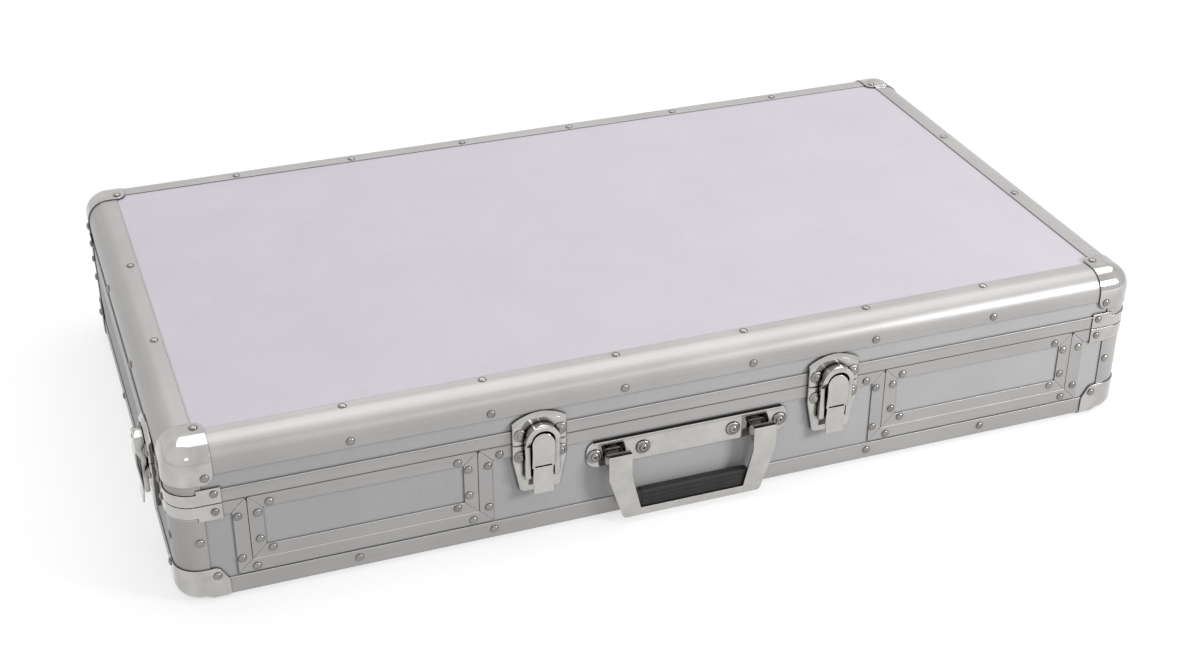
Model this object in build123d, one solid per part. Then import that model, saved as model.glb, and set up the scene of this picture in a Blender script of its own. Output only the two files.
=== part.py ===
from build123d import *
import os
from math import cos, radians, sin, sqrt

# Mixer flight case, lying flat with its lid shut.
# +Z is up, the front with the handle faces -Y, and the origin is the middle of the footprint.

# Overall size of the case body, without latches, handle and corner shells
case_length = 1000.0
case_depth = 564.0
base_height = 104.7
lid_height = 60.3
foot_drop = 3.0

# Sheet and board
skin = 1.2
board = 6.5

# Rounded edge profile of the lid and rounded corner posts
edge_radius = 22.0
edge_reach = 32.0
edge_drop = 29.3
post_radius = 24.0
post_flange = 30.0
board_gap = 0.5

# Angle profile round the bottom
angle_leg = 20.0
angle_radius = 4.0

# Tongue and groove rims at the joint
rim_height = 14.0
sole = 3.4
tongue_start = 2.9
tongue_width = 2.1
tongue_height = 1.8
tongue_side_clearance = 0.5
tongue_top_clearance = 0.4
bead_height = 1.4
bead_proud = 0.5

# Stamped corner shells
shell = 1.5
lid_shell_reach = 42.0
lid_shell_drop = 38.0
lid_shell_corner = 10.0
foot_shell_reach = 46.5
foot_shell_height = 37.0
foot_shell_slope = 9.0
foot_shell_step = 15.0
foot_shell_corner = 7.0
foot_edge_radius = 9.5
foot_ball_radius = 15.0
foot_blend = 6.0
floor_corner = 12.0
brace_reach = 47.0
brace_width = 22.0
brace_sheet = 1.2
brace_band = 12.0
brace_tab = 16.4
brace_gap = 0.5

# Two front openings with lift-out panels
opening_from_centre = 213.6
opening_from_end = 68.6
opening_sill = 35.4
edging_width = 13.5
frame_width = 13.6
panel_clearance = 0.6
panel_top_clearance = 0.3
mitre_gap = 0.4
corner_notch = 2.4
guide_width = 2.4
guide_height = 2.0
guide_clearance = 0.5

# Inside
divider_centre = 165.0
divider_top_gap = 8.0
floor_foam = 8.0
lid_foam_thickness = 18.0
lid_foam_corner = 12.0
foam_clearance = 0.3

# Latch
front_latch_x = 153.5
side_latch_from_front = 109.0
plate_width = 54.0
plate_proud = 5.0
plate_sheet = 1.2
plate_bevel = 1.5
keeper_arch_bevel = 3.2
plate_corner = 5.0
plate_gap = 0.8
keeper_side_height = 22.3
keeper_arch_rise = 9.0
base_plate_height = 54.0
base_plate_taper = 18.5
base_plate_foot = 40.0
lever_pivot_out = 9.2
lever_pivot_up = 9.8
bail_pivot_out = 8.8
bail_pivot_down = 34.7
lever_width = 22.2
lever_sheet = 1.5
lever_nose_back = 2.6
lever_nose_up = 3.9
lever_out = 15.7
lever_bend_down = 0.5
lever_shoulder_down = 9.0
lever_slot_down = 23.0
lever_slot_height = 2.2
lever_waist_down = 32.0
lever_waist_back = 3.1
lever_flare_down = 40.0
lever_flare = 1.4
lever_tip_down = 52.5
lever_tab_inset = 1.2
cheek_half = 9.7
cheek_sheet = 1.3
ear_sheet = 1.4
ear_clearance = 0.4
ear_wall = 0.8
ear_root_down = 16.0
ear_clear_up = 3.0
lever_pin_radius = 1.75
trunnion_radius = 1.6
running_clearance = 0.05
bail_half = 17.0
bail_bar = 5.0
bail_back = 6.3
bail_front = 11.3
bail_nose = 14.8
bail_rim_back = 5.5
bail_rim = 1.5
bail_top = 22.7
bail_roof = 1.6
bail_rim_drop = 5.4
bail_bulge_up = 8.0
bail_brow = 4.2
bail_foot_down = 2.6
hook_half_width = 4.0
hook_web_low = 15.5
hook_sheet = 1.2
hook_out = 12.2
hook_tip = 18.5
hook_side_clearance = 1.0

# Handle
handle_plate_length = 211.0
handle_plate_height = 29.5
handle_plate_gap = 2.2
handle_plate_corner = 11.0
handle_plate_sheet = 1.5
handle_lip = 3.2
handle_arm_x = 76.0
handle_arm_width = 24.0
handle_out = 16.0
handle_sheet = 2.0
handle_roof_up = 4.5
handle_roof_depth = 7.0
handle_bend_down = 19.5
handle_bottom = 3.4
handle_corner = 5.0
handle_rail = 8.2
handle_taper = 15.5
handle_inner_taper = 9.5
handle_pivot_out = 8.6
handle_pivot_drop = 18.0
handle_boss_wall = 1.6
handle_pin_radius = 2.0
handle_cheek_depth = 12.6
handle_cheek_down = 10.5
grip_length = 106.0
grip_height = 24.0
grip_ribs = 4
grip_rib_depth = 0.9
grip_edge = 3.0

# Rivets
rivet_radius = 4.0
latch_rivet_radius = 3.5
latch_rivet_edge = 7.0
keeper_rivet_up = 11.0
plate_rivet_down = 13.0
handle_rivet_up = 13.2
handle_rivet_inner = 16.5
handle_rivet_outer = 9.5
rivet_rise = 1.7
rivet_crown = 0.55
rivet_sides = 12

# Hinges at the back
hinge_x = 300.0
hinge_width = 70.0
hinge_leaf_height = 34.0
hinge_sheet = 1.6
hinge_axis_out = 4.8
hinge_knuckle_radius = 3.6
hinge_pin_radius = 2.0
hinge_edge_gap = 2.6
hinge_knuckles = 3
hinge_knuckle_gap = 0.3

# Derived levels and faces
half_length = case_length / 2
half_depth = case_depth / 2
z_bottom = foot_drop
z_joint = foot_drop + base_height
z_top = z_joint + lid_height
board_inner = skin + board
inner_skin = board_inner + skin
keeper_low = z_joint + plate_gap / 2
base_plate_high = z_joint - plate_gap / 2
lever_pivot = (lever_pivot_out, z_joint + lever_pivot_up)
bail_pivot = (bail_pivot_out, z_joint - bail_pivot_down)
handle_plate_high = z_joint - rim_height - handle_plate_gap
handle_plate_low = handle_plate_high - handle_plate_height
handle_pivot = (handle_pivot_out, handle_plate_high - handle_pivot_drop)
hinge_out = hinge_axis_out + hinge_knuckle_radius
centre_shift = (handle_out - hinge_out) / 2


def block(x0, x1, y0, y1, z0, z1):
    """A box given by its low and high corners."""
    return Pos((x0 + x1) / 2, (y0 + y1) / 2, (z0 + z1) / 2) * Box(x1 - x0, y1 - y0, z1 - z0)


def outline(points, radius=0):
    """A closed face through points, all its corners rounded when a radius is given."""
    if radius:
        return make_face(FilletPolyline(*points, radius=radius, close=True))
    return make_face(Polyline(*points, close=True))


def front_slab(face, out0, out1):
    """Extrude a face drawn in X and Z between two distances in front of the plane Y = 0."""
    plane = Plane(origin=(0, -out0, 0), x_dir=(1, 0, 0), z_dir=(0, -1, 0))
    return extrude(plane * face, out1 - out0)


def side_slab(face, x0, x1):
    """Extrude a face drawn in outward distance and Z between two X positions."""
    plane = Plane(origin=(x1, 0, 0), x_dir=(0, -1, 0), z_dir=(-1, 0, 0))
    return extrude(plane * face, x1 - x0)


def cross_bar(centre, radius, x0, x1):
    """A round bar along X through a point given as outward distance and Z."""
    return side_slab(Pos(centre[0], centre[1]) * Circle(radius), x0, x1)


def four_corners(solid):
    """The front left solid and its three mirror images."""
    right = mirror(solid, about=Plane.YZ)
    back = mirror(solid, about=Plane.XZ)
    back_right = mirror(right, about=Plane.XZ)
    return [solid, right, back, back_right]


def four_sides(make):
    """Front, right, back and left copies of a strip made for a run and a reach."""
    return {
        "front": make(case_length, half_depth),
        "right": Rot(0, 0, 90) * make(case_depth, half_length),
        "back": Rot(0, 0, 180) * make(case_length, half_depth),
        "left": Rot(0, 0, -90) * make(case_depth, half_length),
    }


def ring(inset0, inset1, z0, z1):
    """A rounded rectangular hoop between two insets from the outer face of the case."""
    outer = RectangleRounded(case_length - 2 * inset0, case_depth - 2 * inset0, post_radius - inset0)
    inner = RectangleRounded(case_length - 2 * inset1, case_depth - 2 * inset1, post_radius - inset1)
    return extrude(Pos(0, 0, z0) * (outer - inner), z1 - z0)


def save(name, *solids):
    """Write one node from one or more separate solids."""
    centred = Pos(0, centre_shift, 0)
    pieces = [centred * piece for solid in solids for piece in solid.solids()]
    body = pieces[0] if len(pieces) == 1 else Compound(children=pieces)
    export_step(body, f"parts/{name}.step")


# Aluminium profiles

def rounded_section(radius, drop, reach):
    """Hollow edge profile: a rounded skin outside and a square angle that holds the boards inside."""
    start = Line((0, -drop), (0, -radius))
    turn = RadiusArc((0, -radius), (radius, 0), radius)
    top = Line((radius, 0), (reach, 0))
    end = Line((reach, 0), (reach, -skin))
    under = Line((reach, -skin), (radius, -skin))
    inner_turn = RadiusArc((radius, -skin), (skin, -radius), -(radius - skin))
    inside = Line((skin, -radius), (skin, -drop))
    foot = Line((skin, -drop), (0, -drop))
    rounded_skin = make_face([start, turn, top, end, under, inner_turn, inside, foot])
    corner = radius - (radius - skin / 2) / sqrt(2)
    angle = outline([
        (corner, -corner), (reach, -corner), (reach, -inner_skin), (inner_skin, -inner_skin),
        (inner_skin, -drop), (corner, -drop),
    ])
    board_slots = outline([
        (board_inner, -drop - 1), (board_inner, -board_inner), (reach + 1, -board_inner),
        (reach + 1, 0), (0, 0), (0, -drop - 1),
    ])
    web = outline([
        (corner, -corner), (inner_skin, -corner), (inner_skin, -inner_skin), (corner, -inner_skin),
    ])
    return rounded_skin + (angle - board_slots) + web


def edge_profile(run, reach):
    """Rounded lid edge facing -Y, stopping where the corner shells take over."""
    length = run - 2 * edge_reach
    section = rounded_section(edge_radius, edge_drop, edge_reach)
    plane = Plane(origin=(-length / 2, -reach, z_top), x_dir=(0, 1, 0), z_dir=(1, 0, 0))
    return extrude(plane * section, length)


def bottom_angle(run, reach):
    """Angle profile along the bottom edge facing -Y, from corner post to corner post."""
    length = run - 2 * post_flange
    inner_radius = angle_radius - skin
    section = make_face([
        Line((0, angle_leg), (0, angle_radius)),
        RadiusArc((0, angle_radius), (angle_radius, 0), -angle_radius),
        Line((angle_radius, 0), (angle_leg, 0)),
        Line((angle_leg, 0), (angle_leg, skin)),
        Line((angle_leg, skin), (angle_radius, skin)),
        RadiusArc((angle_radius, skin), (skin, angle_radius), inner_radius),
        Line((skin, angle_radius), (skin, angle_leg)),
        Line((skin, angle_leg), (0, angle_leg)),
    ])
    plane = Plane(origin=(-length / 2, -reach, z_bottom), x_dir=(0, 1, 0), z_dir=(1, 0, 0))
    return extrude(plane * section, length)


def corner_post(z0, z1):
    """Rounded post at the front left corner between two levels."""
    section = mirror(rounded_section(post_radius, post_flange, post_flange), about=Plane.XZ)
    return extrude(Pos(-half_length, -half_depth, z0) * section, z1 - z0)


def corner_zone(reach, z0, z1):
    """Four boxes that hold everything within a reach of the case's corners."""
    box = block(-half_length - 9, -half_length + reach, -half_depth - 9, -half_depth + reach, z0, z1)
    return four_corners(box)


def bead_gaps(top):
    """Boxes where the bead is filed away under the latch keepers and the hinges."""
    half = plate_width / 2 + bead_proud
    keeper_zone = block(-half, half, -9, 9, top - 9, top + 9)
    half = hinge_width / 2 + bead_proud
    hinge_zone = block(-half, half, -9, 9, top - 9, top + 9)
    return [place * keeper_zone for place in latch_places().values()] + at_back(hinge_zone)


def lid_rim():
    """Groove profile bent round the foot of the lid in one piece."""
    top = z_joint + rim_height
    body = ring(0, skin, z_joint, top)
    body += ring(0, inner_skin, z_joint, z_joint + sole)
    body += ring(board_inner, inner_skin, z_joint, top)
    bead = ring(-bead_proud, 0, top - bead_height, top)
    for zone in corner_zone(brace_reach, z_joint - 9, top + 9):
        bead -= zone
    for zone in bead_gaps(top):
        bead -= zone
    groove = ring(
        tongue_start - tongue_side_clearance,
        tongue_start + tongue_width + tongue_side_clearance,
        z_joint,
        z_joint + tongue_height + tongue_top_clearance,
    )
    return body + bead - groove


def whole_base_rim():
    """Tongue profile round the top of the base, before the front openings interrupt it."""
    low = z_joint - rim_height
    body = ring(0, skin, low, z_joint)
    body += ring(0, inner_skin, z_joint - sole, z_joint)
    body += ring(board_inner, inner_skin, low, z_joint)
    tongue = ring(tongue_start, tongue_start + tongue_width, z_joint, z_joint + tongue_height)
    return body + tongue


def opening_edges(side):
    """Low and high X of the left (-1) or right (+1) front opening."""
    near = opening_from_centre
    far = half_length - opening_from_end
    return (near, far) if side > 0 else (-far, -near)


def rim_cutter(side):
    """What the edging takes out of the base rim: the opening and a mitre at each end."""
    x0, x1 = opening_edges(side)
    low = z_joint - rim_height - 1
    gap = mitre_gap
    run = edging_width + gap
    straight = block(
        x0 - skin - gap, x1 + skin + gap, -half_depth - 1, -half_depth + inner_skin + 1, low, z_joint + 9
    )
    mitre = outline([
        (x0 - run, low), (x0 - run, z_joint - edging_width), (x0 - gap, z_joint),
        (x1 + gap, z_joint), (x1 + run, z_joint - edging_width), (x1 + run, low),
    ])
    slanted = Pos(0, -half_depth, 0) * front_slab(mitre, -skin, 1)
    return straight + slanted


def base_rims():
    """The front centre piece and the long piece that runs round the sides and the back."""
    whole = whole_base_rim() - rim_cutter(-1) - rim_cutter(1)
    pieces = whole.solids().sort_by(SortBy.VOLUME)
    centre = [piece for piece in pieces if abs(piece.center().X) < 50 and piece.center().Y < -half_depth / 2]
    around = [piece for piece in pieces if piece not in centre]
    return centre, around


# Boards

def base_walls():
    """Four boards between the corner posts; the front one has two openings down from its top."""
    high = z_joint - sole
    low = z_bottom + angle_radius

    def wall(run, reach):
        end = run / 2 - post_radius - board_gap
        return block(-end, end, -reach + skin, -reach + board_inner, low, high)

    walls = four_sides(wall)
    for zone in corner_zone(post_flange + board_gap, z_bottom - 9, z_bottom + foot_ball_radius):
        for name in walls:
            walls[name] -= zone
    for side in (-1, 1):
        x0, x1 = opening_edges(side)
        walls["front"] -= block(
            x0 - skin, x1 + skin, -half_depth, -half_depth + 2 * board_inner,
            z_bottom + opening_sill - skin, high + 9,
        )
    return walls


def lid_walls():
    """Four boards between the lid rim and the rounded edge profile."""

    def wall(run, reach):
        end = run / 2 - post_radius - board_gap
        high = z_top - edge_radius - board_gap
        return block(-end, end, -reach + skin, -reach + board_inner, z_joint + sole, high)

    return four_sides(wall)


def base_floor():
    """Bottom board resting on the bottom legs of the angle profiles."""
    x = half_length - inner_skin
    y = half_depth - inner_skin
    floor = block(-x, x, -y, y, z_bottom + skin, z_bottom + board_inner)
    return fillet(floor.edges().filter_by(Axis.Z), floor_corner)


def lid_panel():
    """Top board held in the slots of the rounded edge profiles."""
    x = half_length - edge_radius - board_gap
    y = half_depth - edge_radius - board_gap
    return block(-x, x, -y, y, z_top - board_inner, z_top - skin)


def divider(side):
    """Board that parts the middle bay from a side bay."""
    x = side * divider_centre
    y = half_depth - inner_skin
    return block(x - board / 2, x + board / 2, -y, y, z_bottom + board_inner, z_joint - divider_top_gap)


def floor_pads():
    """One foam pad in each bay of the base."""
    low = z_bottom + board_inner
    y = half_depth - inner_skin - foam_clearance
    inner = divider_centre - board / 2 - foam_clearance
    outer = divider_centre + board / 2 + foam_clearance
    end = half_length - inner_skin - foam_clearance
    spans = [(-end, -outer), (-inner, inner), (outer, end)]
    return [block(x0, x1, -y, y, low, low + floor_foam) for x0, x1 in spans]


def lid_pad():
    """Foam pad glued under the lid panel."""
    x = half_length - inner_skin - foam_clearance
    y = half_depth - inner_skin - foam_clearance
    high = z_top - inner_skin
    pad = block(-x, x, -y, y, high - lid_foam_thickness, high)
    return fillet(pad.edges().filter_by(Axis.Z), lid_foam_corner)


# Front openings and lift-out panels

def mitred_strips(x0, x1, z0, z1, width):
    """Four solid strips that line a rectangle, mitred where they meet."""
    gap = mitre_gap / 2
    near = width + gap
    corners = {
        "low": [(x0 + gap, z0), (x1 - gap, z0), (x1 - near, z0 + width), (x0 + near, z0 + width)],
        "high": [(x0 + gap, z1), (x1 - gap, z1), (x1 - near, z1 - width), (x0 + near, z1 - width)],
        "left": [(x0, z0 + gap), (x0, z1 - gap), (x0 + width, z1 - near), (x0 + width, z0 + near)],
        "right": [(x1, z0 + gap), (x1, z1 - gap), (x1 - width, z1 - near), (x1 - width, z0 + near)],
    }
    return [front_slab(outline(points), -inner_skin, 0) for points in corners.values()]


def edging_strips(x0, x1, z0):
    """Three solid strips round the foot and sides of an opening, mitred to each other and to the rim."""
    width = edging_width
    gap = mitre_gap / 2
    faces = {
        "low": [
            (x0 - width + gap, z0 - width), (x1 + width - gap, z0 - width), (x1 - gap, z0), (x0 + gap, z0),
        ],
        "left": [
            (x0 - width, z0 - width + gap), (x0, z0 + gap), (x0, z_joint - gap),
            (x0 - width, z_joint - width - gap),
        ],
        "right": [
            (x1 + width, z0 - width + gap), (x1, z0 + gap), (x1, z_joint - gap),
            (x1 + width, z_joint - width - gap),
        ],
    }
    return {name: front_slab(outline(points), -inner_skin, 0) for name, points in faces.items()}


def opening_edging(side):
    """Three channels that cap the cut edge of the front wall, with a guide rib up each side."""
    x0, x1 = opening_edges(side)
    z0 = z_bottom + opening_sill
    width = edging_width
    strips = edging_strips(x0, x1, z0)
    board_space = block(
        x0 - width - 9, x1 + width + 9, skin, board_inner, z0 - width - 9, z_joint + 9
    ) - block(x0 - skin, x1 + skin, skin, board_inner, z0 - skin, z_joint + 9)
    notch = outline([
        (x0 - corner_notch, z_joint), (x0, z_joint - 2 * corner_notch), (x1, z_joint - 2 * corner_notch),
        (x1 + corner_notch, z_joint), (x1, z_joint + 1), (x0, z_joint + 1),
    ])
    rim_low = z_joint - rim_height
    rim_space = block(x0 - width - 9, x1 + width + 9, skin, 2 * board_inner, rim_low, z_joint + 9)
    rim_space -= block(x0 - skin, x1 + skin, 0, 2 * board_inner, 0, z_joint + 9)
    middle = (skin + board_inner) / 2
    pieces = []
    for name, strip in strips.items():
        piece = strip - board_space - rim_space - front_slab(notch, -skin, 0)
        if name != "low":
            edge = x0 if name == "left" else x1
            rib = block(
                min(edge, edge + guide_height * (1 if name == "left" else -1)),
                max(edge, edge + guide_height * (1 if name == "left" else -1)),
                middle - guide_width / 2, middle + guide_width / 2,
                z0 + guide_height, z_joint - rim_height,
            )
            piece += rib
        pieces.append(Pos(0, -half_depth, 0) * piece)
    return pieces


def panel_bounds(side):
    """Low and high X and Z of a lift-out panel with its frame."""
    x0, x1 = opening_edges(side)
    z0 = z_bottom + opening_sill
    return x0 + panel_clearance, x1 - panel_clearance, z0, z_joint - panel_top_clearance


def guide_slots(side, grow=0.0):
    """Grooves up both ends of a lift-out panel that run on the guide ribs."""
    x0, x1 = opening_edges(side)
    middle = (skin + board_inner) / 2
    half = guide_width / 2 + guide_clearance + grow
    depth = guide_height + guide_clearance + grow
    z0 = z_bottom + opening_sill - 1
    left = block(x0 - 1, x0 + depth, middle - half, middle + half, z0, z_joint + 1)
    right = block(x1 - depth, x1 + 1, middle - half, middle + half, z0, z_joint + 1)
    return left + right


def panel_frame(side):
    """Four mitred channels round a lift-out panel."""
    x0, x1, z0, z1 = panel_bounds(side)
    board_space = block(x0 + skin, x1 - skin, skin, board_inner, z0 + skin, z1 - skin)
    board_space -= guide_slots(side, skin / 2)
    strips = mitred_strips(x0, x1, z0, z1, frame_width)
    slots = guide_slots(side)
    notches = [
        outline([(x0, z1), (x0 + corner_notch / 2, z1), (x0, z1 - corner_notch)]),
        outline([(x1, z1), (x1 - corner_notch / 2, z1), (x1, z1 - corner_notch)]),
    ]
    pieces = []
    for strip in strips:
        piece = strip - board_space - slots
        for notch in notches:
            piece -= front_slab(notch, -skin, 0)
        pieces.append(Pos(0, -half_depth, 0) * piece)
    return pieces


def panel_board(side):
    """Board of a lift-out panel."""
    x0, x1, z0, z1 = panel_bounds(side)
    board_block = block(x0 + skin, x1 - skin, skin, board_inner, z0 + skin, z1 - skin)
    return Pos(0, -half_depth, 0) * (board_block - guide_slots(side, skin / 2))


# Stamped corners

def lid_block(grow):
    """Top corner block at the front left, rounded on its upright edge and round its cap."""
    size = 80.0
    x = -half_length - grow
    y = -half_depth - grow
    body = block(x, x + size, y, y + size, z_top + grow - size, z_top + grow)
    upright = body.edges().filter_by(Axis.Z).sort_by(lambda edge: edge.center().X + edge.center().Y)[0]
    body = fillet(upright, post_radius + grow)
    cap = body.faces().sort_by(Axis.Z)[-1]
    limit = size - 1
    rim_edges = [e for e in cap.edges() if e.center().X < x + limit and e.center().Y < y + limit]
    return fillet(rim_edges, edge_radius + grow)


def lid_corner():
    """Polished shell over a top corner: three rounded tabs that meet in a ball."""
    outer = lid_block(shell)
    inner = lid_block(0)
    reach = lid_shell_reach
    keep = block(
        -half_length - 9, -half_length + reach, -half_depth - 9, -half_depth + reach,
        z_top - lid_shell_drop, z_top + 9,
    )
    x_edge = keep.edges().filter_by(Axis.X).sort_by(lambda e: e.center().Y - e.center().Z)[-1]
    y_edge = keep.edges().filter_by(Axis.Y).sort_by(lambda e: e.center().X - e.center().Z)[-1]
    z_edge = keep.edges().filter_by(Axis.Z).sort_by(lambda e: e.center().X + e.center().Y)[-1]
    keep = fillet([x_edge, y_edge, z_edge], lid_shell_corner)
    return (outer - inner) & keep


def foot_section(wall, low, radius):
    """Upright cut through the foot: an outer wall, a rounded lower edge and a flat underside."""
    high = foot_shell_height + 9
    return make_face([
        Line((wall, high), (wall, low + radius)),
        RadiusArc((wall, low + radius), (wall + radius, low), -radius),
        Line((wall + radius, low), (post_radius, low)),
        Line((post_radius, low), (post_radius, high)),
        Line((post_radius, high), (wall, high)),
    ])


def foot_leg(wall, low, edge, ball):
    """Straight arm of the foot along X that grows rounder towards the ball."""
    far = Plane(origin=(post_radius + foot_blend, 0, 0), x_dir=(0, 1, 0), z_dir=(1, 0, 0))
    near = Plane(origin=(post_radius, 0, 0), x_dir=(0, 1, 0), z_dir=(1, 0, 0))
    arm = extrude(far * foot_section(wall, low, edge), foot_shell_reach)
    return arm + loft([near * foot_section(wall, low, ball), far * foot_section(wall, low, edge)])


def foot_form(wall, low, edge, ball):
    """Whole foot at a corner on the origin: a ball, an arm each way and the underside between them."""
    leg = foot_leg(wall, low, edge, ball)
    other = mirror(leg, about=Plane(origin=(0, 0, 0), z_dir=(1, -1, 0)))
    spin = Plane(origin=(post_radius, post_radius, 0), x_dir=(-1, 0, 0), z_dir=(0, 1, 0))
    section = Pos(-post_radius, 0) * foot_section(wall, low, ball)
    upright = Axis((post_radius, post_radius, 0), (0, 0, 1))
    turned = revolve(spin * mirror(section, about=Plane.YZ), upright, 90)
    size = 2 * foot_shell_reach
    middle = block(post_radius, size, post_radius, size, low, foot_shell_height + 9)
    return leg + other + turned + middle


def foot_corner():
    """Polished shell over a bottom corner; the case stands on its underside."""
    outer = foot_form(-shell, -foot_drop, foot_edge_radius, foot_ball_radius)
    inner = foot_form(0, 0, angle_radius, foot_ball_radius - foot_drop)
    reach = foot_shell_reach
    high = foot_shell_height - foot_drop
    low = -foot_drop - 1
    tab = outline([
        (-9, low), (reach, low), (reach, high - foot_shell_step), (reach - foot_shell_slope, high),
        (-9, high),
    ])
    tab = fillet(tab.vertices().filter_by(lambda v: v.X > 0 and v.Y > 0), foot_shell_corner)
    front = front_slab(tab, -reach, 9)
    plane = Plane(origin=(-9, 0, 0), x_dir=(0, 1, 0), z_dir=(1, 0, 0))
    side = extrude(plane * tab, reach + 9)
    return Pos(-half_length, -half_depth, z_bottom) * ((outer - inner) & front & side)


def rim_brace(z0, z1, tab0, tab1):
    """Clip round a rim's corner: a bent band with a taller riveted tab at each end."""
    zone = corner_zone(brace_reach, z0, z1)[0]
    band = ring(-brace_sheet, 0, z0, z1) & zone
    near = brace_reach - brace_width
    front = block(
        -half_length + near, -half_length + brace_reach, -half_depth - brace_sheet, -half_depth, tab0, tab1
    )
    side = block(
        -half_length - brace_sheet, -half_length, -half_depth + near, -half_depth + brace_reach, tab0, tab1
    )
    return band + front + side


# Latches, drawn at the origin with the case face on Y = 0

def keeper():
    """Dished plate on the lid with an arched top and an upturned hook for the bail."""
    half = plate_width / 2
    side_top = keeper_low + keeper_side_height
    apex = side_top + keeper_arch_rise
    face = make_face([
        Line((-half, side_top), (-half, keeper_low)),
        Line((-half, keeper_low), (half, keeper_low)),
        Line((half, keeper_low), (half, side_top)),
        ThreePointArc((half, side_top), (0, apex), (-half, side_top)),
    ])
    body = front_slab(face, 0, plate_proud)
    edges = body.faces().sort_by(Axis.Y)[0].edges().sort_by(Axis.Z)
    body = chamfer(edges[-1], keeper_arch_bevel)
    sides = [edge for edge in body.faces().sort_by(Axis.Y)[0].edges() if abs(edge.center().X) > half - 1]
    body = chamfer(sides, plate_bevel)
    pocket = offset(face, -plate_sheet) & (Pos(0, -keeper_arch_bevel) * face)
    body -= front_slab(pocket, -1, plate_proud - plate_sheet)
    web_low = z_joint + hook_web_low
    web_high = web_low + hook_sheet
    hook = outline([
        (plate_proud - plate_sheet / 2, web_low), (hook_out, web_low), (hook_out, z_joint + hook_tip),
        (hook_out - hook_sheet, z_joint + hook_tip), (hook_out - hook_sheet, web_high),
        (plate_proud - plate_sheet / 2, web_high),
    ])
    body += side_slab(hook, -hook_half_width, hook_half_width)
    return body


def latch_base():
    """Dished plate on the base that tapers downwards, with two ears that carry the lever."""
    half = plate_width / 2
    foot = base_plate_foot / 2
    low = base_plate_high - base_plate_height
    taper = base_plate_high - base_plate_taper
    face = outline([
        (-half, base_plate_high), (-half, taper), (-foot, low), (foot, low), (half, taper),
        (half, base_plate_high),
    ])
    face = fillet(face.vertices().filter_by(lambda v: v.Y < low + 1), plate_corner)
    body = front_slab(face, -skin, plate_proud)
    front_face = body.faces().sort_by(Axis.Y)[0]
    body = chamfer(front_face.edges(), plate_bevel)
    body -= front_slab(offset(face, -plate_sheet), -skin - 1, plate_proud - plate_sheet)
    body -= block(-half - 9, half + 9, 0, 9, z_joint - rim_height - 0.3, z_joint + 9)
    boss = ear_wall + lever_pin_radius
    root = plate_proud - plate_sheet / 2
    front_root = lever_pivot_out + boss
    plate_clear = plate_proud + ear_clearance
    blade = outline([
        (root, base_plate_high - ear_root_down),
        (plate_proud + ear_clear_up, base_plate_high - ear_root_down),
        (front_root, z_joint), (front_root, lever_pivot[1]), (lever_pivot_out - boss, lever_pivot[1]),
        (plate_clear, z_joint + ear_clear_up),
        (plate_clear, base_plate_high), (root, base_plate_high),
    ])
    blade += Pos(*lever_pivot) * Circle(boss)
    blade -= Pos(*lever_pivot) * Circle(lever_pin_radius + running_clearance)
    outer = cheek_half - cheek_sheet - ear_clearance
    for side in (-1, 1):
        x0, x1 = sorted((side * outer, side * (outer - ear_sheet)))
        body += side_slab(blade, x0, x1)
    return body


def lever_side(back):
    """Side view of the lever: a sloping nose, a straight face and a tab that flares out at the end."""
    bend = z_joint - lever_bend_down
    shoulder = z_joint - lever_shoulder_down
    narrow = z_joint - lever_waist_down
    flare = z_joint - lever_flare_down
    tip = z_joint - lever_tip_down
    top = lever_pivot[1] + lever_nose_up
    nose = lever_out - lever_nose_back
    waist = lever_out - lever_waist_back
    return outline([
        (nose, top), (lever_out, bend), (lever_out, shoulder), (waist, narrow), (waist, flare),
        (waist + lever_flare, tip), (waist + lever_flare - back, tip), (waist - back, flare),
        (waist - back, narrow), (lever_out - back, shoulder), (lever_out - back, bend - back / 3),
        (nose - back, top),
    ])


def lever_outline():
    """Front view of the lever: arched top, straight sides and a narrower tab below a slot."""
    half = lever_width / 2
    tab = half - lever_tab_inset
    spring = lever_pivot[1] + lever_nose_up - half
    slot = z_joint - lever_slot_down
    low = z_joint - lever_tip_down - 1
    return make_face([
        ThreePointArc((-half, spring), (0, spring + half), (half, spring)),
        Line((half, spring), (half, slot)),
        Line((half, slot), (tab, slot)),
        Line((tab, slot), (tab, low)),
        Line((tab, low), (-tab, low)),
        Line((-tab, low), (-tab, slot)),
        Line((-tab, slot), (-half, slot)),
        Line((-half, slot), (-half, spring)),
    ])


def lever_cheek():
    """Side view of a lever cheek with the holes for its pin and for the bail's stub."""
    front = lever_out - lever_sheet / 2
    pin_wall = lever_pin_radius + 1.5
    boss = trunnion_radius + 1.4
    cheek = outline([
        (lever_pivot_out - pin_wall, lever_pivot[1] - 1), (lever_pivot_out - 1, lever_pivot[1] + pin_wall),
        (front - lever_nose_back, lever_pivot[1] + pin_wall), (front, z_joint - 1),
        (front, z_joint - lever_shoulder_down), (front - lever_waist_back, z_joint - lever_waist_down),
        (bail_pivot_out + boss, bail_pivot[1]), (bail_pivot_out - boss, bail_pivot[1]),
        (lever_pivot_out - 2, z_joint - 4),
    ])
    cheek += Pos(*bail_pivot) * Circle(boss)
    cheek -= Pos(*bail_pivot) * Circle(trunnion_radius + running_clearance)
    return cheek - Pos(*lever_pivot) * Circle(lever_pin_radius + running_clearance)


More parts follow.
